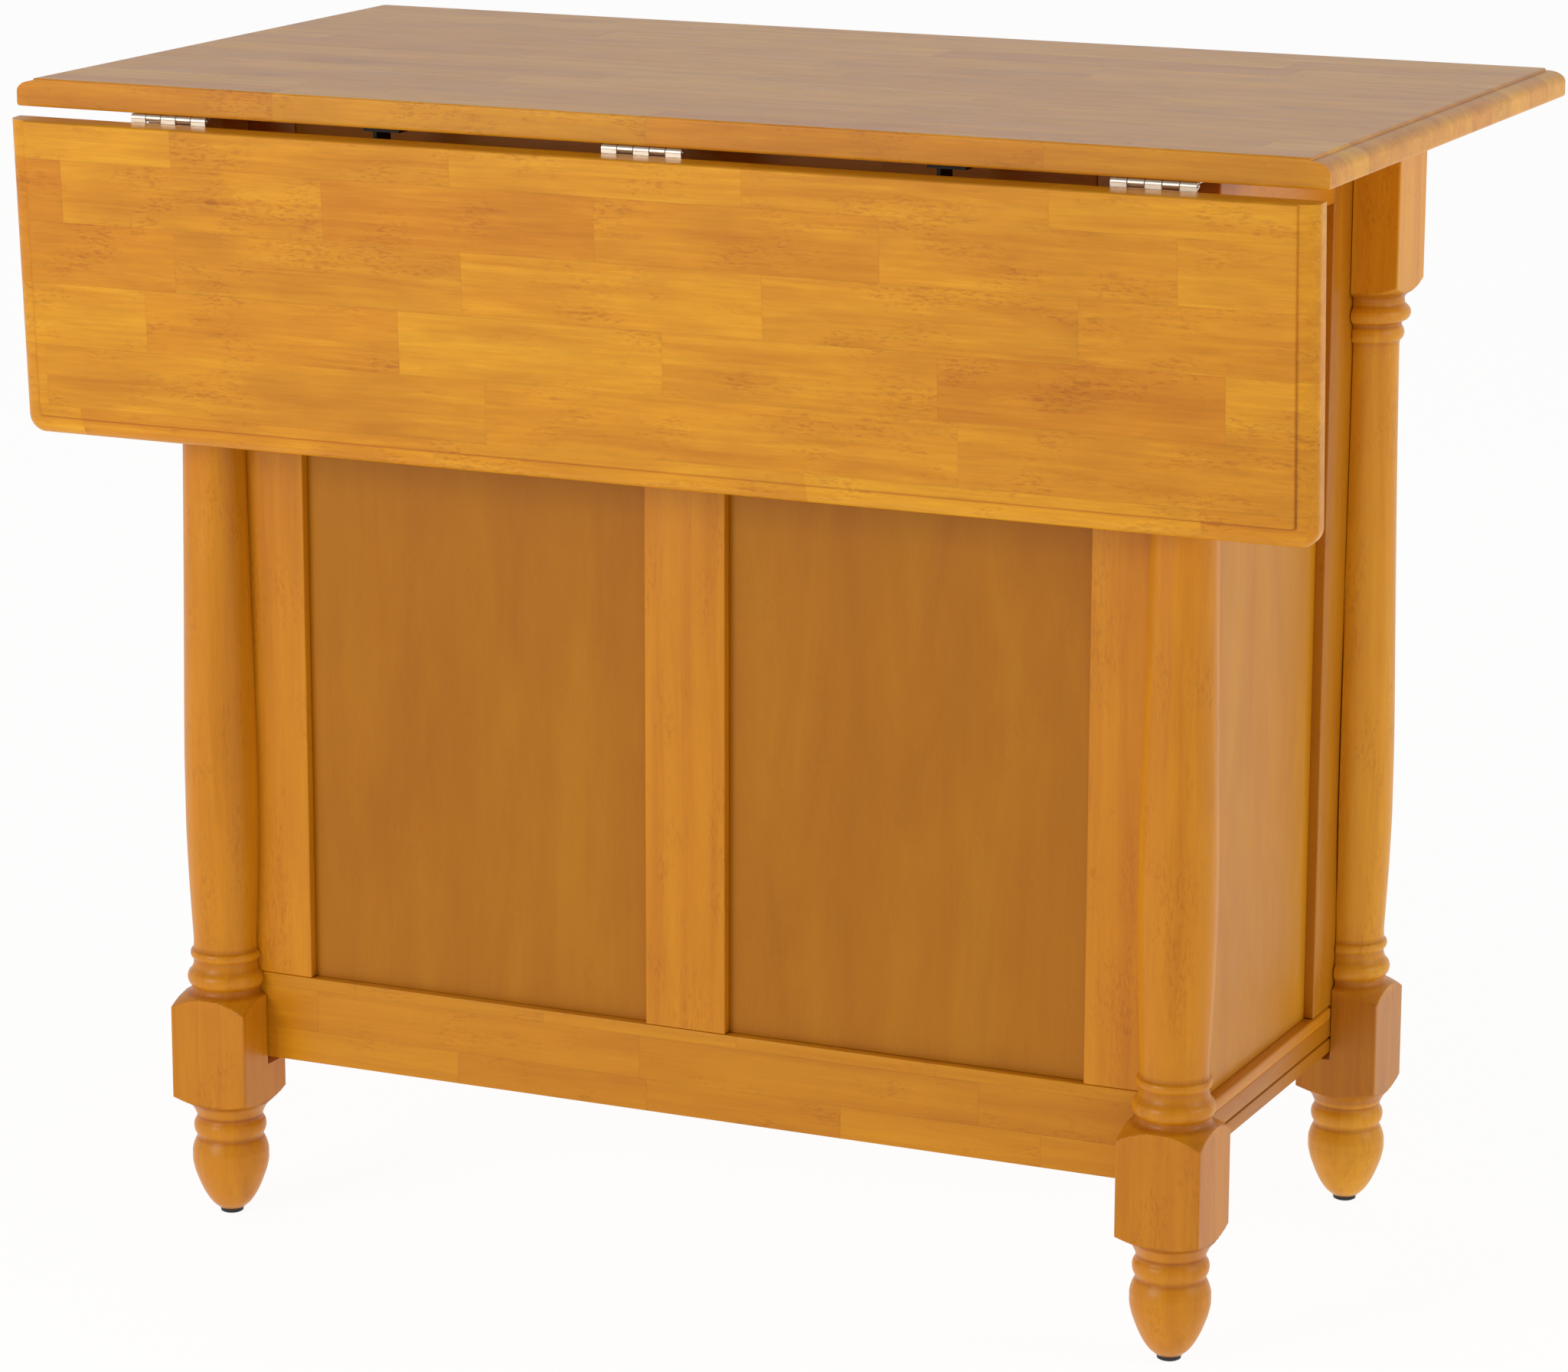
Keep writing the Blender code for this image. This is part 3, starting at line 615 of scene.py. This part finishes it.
for place in ("left", "middle", "right"):
    fixedNode, leafNode = f"hinge_{place}_fixed_plate", f"hinge_{place}_leaf_plate"
    low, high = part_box(fixedNode)
    length = hinge["knuckles"] * hinge["knuckle"]
    xFrom = (low[0] + high[0]) / 2 - length / 2 * mm
    # the pin belongs to the fixed half and shows a domed end each side
    pinParts = revolved(((-0.8, 0.5), (-0.7, 1.0), (-0.4, pinRound),
                         (length + 0.4, pinRound), (length + 0.7, 1.0), (length + 0.8, 0.5)),
                        (xFrom, pin[1], pin[2]), "X", 24)
    half = hingeHalf(xFrom, high[1], (1, 3), 1.0)
    dress(meshObject(f"hingeFixed_{place}", *joined([half, pinParts]), 30.0), nickel,
          "cabinet", [fixedNode])
    vertices, faces = hingeHalf(xFrom, pin[1] - hinge["leafPlate"] * mm, (0, 2, 4), -1.0)
    dress(meshObject(f"hingeLeaf_{place}", swingDown(vertices), faces, 30.0), nickel, "leaf",
          [leafNode])
print("hinges made")

boardGrain = {
    "back_bottom_rail": "X", "back_top_rail": "X", "back_stile_left": "Z",
    "back_stile_right": "Z", "back_centre_stile": "Z",
    "face_bottom_rail": "X", "face_top_rail": "X", "face_middle_rail": "X",
    "face_stile_left": "Z", "face_stile_right": "Z", "drawer_front": "X",
}
for side in ("left", "right"):
    boardGrain.update({f"side_{side}_bottom_rail": "Y", f"side_{side}_bead": "Y",
                       f"side_{side}_top_rail": "Y", f"side_{side}_near_stile": "Z",
                       f"side_{side}_far_stile": "Z"})
jointedStaves = {"staveWidth": 34.0, "staveLength": 240.0, "rowShift": 12.0,
                 "glueDark": 0.90, "toneColours": ("#F4ECE2", "#FFFFFF", "#FAF4EC")}
plainEase = 1.1
boardEase = {"drawer_front": 3.0, "side_left_bead": 2.6, "side_right_bead": 2.6}
railGroove = {"nodes": ("side_left_bottom_rail", "side_right_bottom_rail"),
              "down": 15.0, "wide": 1.6, "deep": 2.2}
bodyOf = {node: body for body, group in frame["record"]["behaviour"]["bodies"].items()
          for node in group}
for i, (node, grain) in enumerate(sorted(boardGrain.items())):
    look = {}
    if grain == "X":
        look = {**jointedStaves, "rowsAlongDepth": True,
                "colours": ("#C37B0A", "#CC840C", "#D28C11")}
    # painted shade: the far stiles and the side bottom rails are coloured darker than the other boards, for the
    # shade that falls on them
    if node.endswith("far_stile") or node in railGroove["nodes"]:
        look = {"colours": ("#AE6808", "#B5700A", "#BB770D")}
    material = honeyWood(node + "Wood", grain, 60.0 + 7 * i, **look)
    radius = boardEase.get(node, plainEase) * mm
    low, high = (list(corner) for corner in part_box(node))
    shape = easedBox(low, high, radius)
    if node in railGroove["nodes"]:
        # a groove scraped along the rail: two eased strips and a sunk one behind the gap
        cut, gap = high[2] - railGroove["down"] * mm, railGroove["wide"] * mm
        inset = railGroove["deep"] * mm
        shape = joined([easedBox(low, (high[0], high[1], cut - gap), radius),
                        easedBox((low[0], low[1], cut), high, radius),
                        easedBox((low[0] + inset, low[1], cut - 3 * gap),
                                 (high[0] - inset, high[1], cut + 2 * gap), 0.3 * mm, 2)])
    piece = meshObject(node.replace("_", "") + "Board", *shape, 50.0)
    dress(piece, material, bodyOf[node], [node])

door = {"frame": 62.0, "sink": 7.0, "gap": 0.15, "panelBack": 2.0,
        "moulding": ((0.0, -1.0), (0.0, 6.4), (0.5, 6.8), (1.3, 6.9), (2.2, 6.4), (3.0, 5.2),
                     (4.0, 3.8), (5.4, 2.7), (7.0, 2.1), (7.9, 1.6), (8.2, 0.9), (8.2, -1.0))}


def mouldingRing(low, high, yBase, profile):
    # a profile (distance in, height out) carried round a rectangle and mitred at its corners
    inward, out = np.array(profile, float).T * mm
    corners = np.array([(0, 0), (1, 0), (1, 1), (0, 1)])
    x = np.where(corners[:, :1], high[0] - inward, low[0] + inward)
    z = np.where(corners[:, 1:], high[2] - inward, low[2] + inward)
    y = np.broadcast_to(yBase + out, x.shape)
    vertices = np.stack((x, y, z), -1).reshape(-1, 3)
    n, m = x.shape
    r, c = np.meshgrid(np.arange(n), np.arange(m), indexing="ij")
    r1, c1 = (r + 1) % n, (c + 1) % m
    quads = np.stack((r * m + c, r * m + c1, r1 * m + c1, r1 * m + c), -1).reshape(-1, 4)
    return vertices, quads.tolist()


for i, node in enumerate(("door_left", "door_right")):
    (x0, y0, z0), (x1, y1, z1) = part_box(node)
    wide, gap = door["frame"] * mm, door["gap"] * mm
    name = node.replace("_", "")
    boards = {"Stile1": ("Z", (x0, y0, z0), (x0 + wide, y1, z1)),
              "Stile2": ("Z", (x1 - wide, y0, z0), (x1, y1, z1)),
              "RailLow": ("X", (x0 + wide + gap, y0, z0), (x1 - wide - gap, y1, z0 + wide)),
              "RailHigh": ("X", (x0 + wide + gap, y0, z1 - wide), (x1 - wide - gap, y1, z1))}
    for k, (part, (grain, low, high)) in enumerate(boards.items()):
        piece = meshObject(name + part, *easedBox(low, high, plainEase * mm), 50.0)
        dress(piece, honeyWood(name + part + "Wood", grain, 240.0 + 10 * i + k), node,
              [node])
    low = (x0 + wide + gap, y0 + door["panelBack"] * mm, z0 + wide + gap)
    high = (x1 - wide - gap, y1 - door["sink"] * mm, z1 - wide - gap)
    piece = meshObject(name + "Panel", *easedBox(low, high, 0.5 * mm, 2), 50.0)
    dress(piece, honeyWood(name + "PanelWood", "Z", 260.0 + i, **panelTone), node)
    piece = meshObject(name + "Moulding", *mouldingRing(low, high, high[1], door["moulding"]),
                       50.0)
    dress(piece, honeyWood(name + "MouldingWood", "Z", 270.0 + i), node)
# painted light: the side panels are coloured lighter than the back panels, for the light from the right that falls
# on them
litSidePanelTone = {**panelTone, "colours": ("#BC760A", "#C37E0E", "#C98612")}
for i, node in enumerate(("back_panel_left", "back_panel_right", "side_left_panel",
                          "side_right_panel")):
    tone = litSidePanelTone if node.startswith("side") else panelTone
    coat(frame["nodes"][node], honeyWood(node + "Wood", "Z", 200.0 + 9 * i, **tone))
for i, node in enumerate(("bottom_board", "shelf", "drawer_runner_left",
                          "drawer_runner_right", "drawer_box")):
    grain = "Y" if "runner" in node else "X"
    coat(frame["nodes"][node],
         honeyWood(node + "Wood", grain, 300.0 + 5 * i, **innerTone))
for node, piece in frame["nodes"].items():
    if node.startswith(("support_", "leaf_rest")):
        coat(piece, shadeSteel)
print("boards stained")

stage = {"floorSize": 40.0, "floorShade": "#5A5957", "floorGlow": 0.93,
         "skyBack": 1.0, "skySides": 0.84, "skyFront": 0.3, "skyHigh": 0.34,
         "keyPower": 52.0, "keySize": (1.6, 1.6), "keyPlace": (-1.6, -3.4, 1.5),
         "keyAim": (0.0, 0.0, 0.45), "fillPower": 18.0, "fillSize": (1.5, 1.5),
         "fillPlace": (3.2, 0.15, 1.6), "fillAim": (0.0, 0.0, 0.5)}


def makeFloor():
    # one flat square under the piece
    size = stage["floorSize"] / 2
    floor = meshObject("studioFloor", [(-size, -size, 0), (size, -size, 0),
                                       (size, size, 0), (-size, size, 0)], [[0, 1, 2, 3]])
    # white studio paper lit from below: an even white with only a faint shadow on it
    material, tree = newMaterial("litStudioPaper")
    paper = addNode(tree, "ShaderNodeBsdfDiffuse", {"Color": toLinear(stage["floorShade"])})
    glow = addNode(tree, "ShaderNodeEmission", {"Color": (1, 1, 1, 1),
                                                "Strength": stage["floorGlow"]})
    both = addNode(tree, "ShaderNodeAddShader", {0: paper.outputs[0], 1: glow.outputs[0]})
    addNode(tree, "ShaderNodeOutputMaterial", {"Surface": both.outputs[0]})
    floor.data.materials.append(material)


def areaLight(name, place, target, size, power):
    # a white panel facing its target, unseen by the camera itself
    data = bpy.data.lights.new(name, "AREA")
    data.shape = "RECTANGLE"
    data.size, data.size_y = size
    data.energy = power
    light = bpy.data.objects.new(name, data)
    light.location = place
    light.rotation_euler = (Vector(target) - Vector(place)).to_track_quat("-Z", "Y").to_euler()
    light.visible_camera = False
    scene.collection.objects.link(light)


def makeWorld():
    # A white band round the horizon under about 30 degrees, dimmer overhead. Its strength
    # follows the square of the heading: back y^2 (or front y^2) + sides x^2.
    world = bpy.data.worlds.new("studio")
    scene.world = world
    world.use_nodes = True
    tree = world.node_tree
    tree.nodes.clear()
    calc = calculator(tree)
    direction = addNode(tree, "ShaderNodeTexCoord").outputs["Generated"]
    x, y, z = addNode(tree, "ShaderNodeSeparateXYZ", {0: direction}).outputs
    flat = calc("MAXIMUM", calc("SUBTRACT", 1.0, calc("MULTIPLY", z, z)), 0.001)
    ySquare = calc("DIVIDE", calc("MULTIPLY", y, y), flat)
    isBack = calc("GREATER_THAN", y, 0.0)
    yStrength = calc("MULTIPLY_ADD", isBack, stage["skyBack"] - stage["skyFront"],
                     stage["skyFront"])
    around = calc("MULTIPLY_ADD", calc("SUBTRACT", yStrength, stage["skySides"]), ySquare,
                  stage["skySides"])
    lift = addNode(tree, "ShaderNodeMapRange",
                   {"Value": z, "From Min": 0.35, "From Max": 0.65},
                   interpolation_type="SMOOTHSTEP").outputs[0]
    strength = calc("MULTIPLY_ADD", calc("SUBTRACT", stage["skyHigh"], around), lift, around)
    glow = addNode(tree, "ShaderNodeBackground", {"Color": (1.0, 1.0, 1.0, 1.0),
                                                  "Strength": strength})
    addNode(tree, "ShaderNodeOutputWorld", {"Surface": glow.outputs[0]})


makeFloor()
makeWorld()
areaLight("keyPanel", stage["keyPlace"], stage["keyAim"], stage["keySize"],
          stage["keyPower"])
areaLight("fillPanel", stage["fillPlace"], stage["fillAim"], stage["fillSize"],
          stage["fillPower"])

view = {"azimuth": 24.504, "elevation": 13.667, "roll": 0.1147, "lens": 124.556,
        "place": (1.7170, -3.7977, 1.4295), "shift": (0.0044, 0.0107)}
camera = bpy.data.objects.new("camera", bpy.data.cameras.new("camera"))
camera.data.sensor_width = 36.0
camera.data.lens = view["lens"]
camera.data.shift_x, camera.data.shift_y = view["shift"]
camera.data.clip_end = 100.0
# turned to the azimuth, then tipped down by the elevation, then rolled about its own axis
camera.matrix_world = (Matrix.Translation(view["place"])
                       @ Matrix.Rotation(math.radians(view["azimuth"]), 4, "Z")
                       @ Matrix.Rotation(math.radians(90 - view["elevation"]), 4, "X")
                       @ Matrix.Rotation(math.radians(view["roll"]), 4, "Z"))
scene.collection.objects.link(camera)
scene.camera = camera
scene.view_settings.view_transform = "Standard"
scene.view_settings.look = "None"
print("stage set")
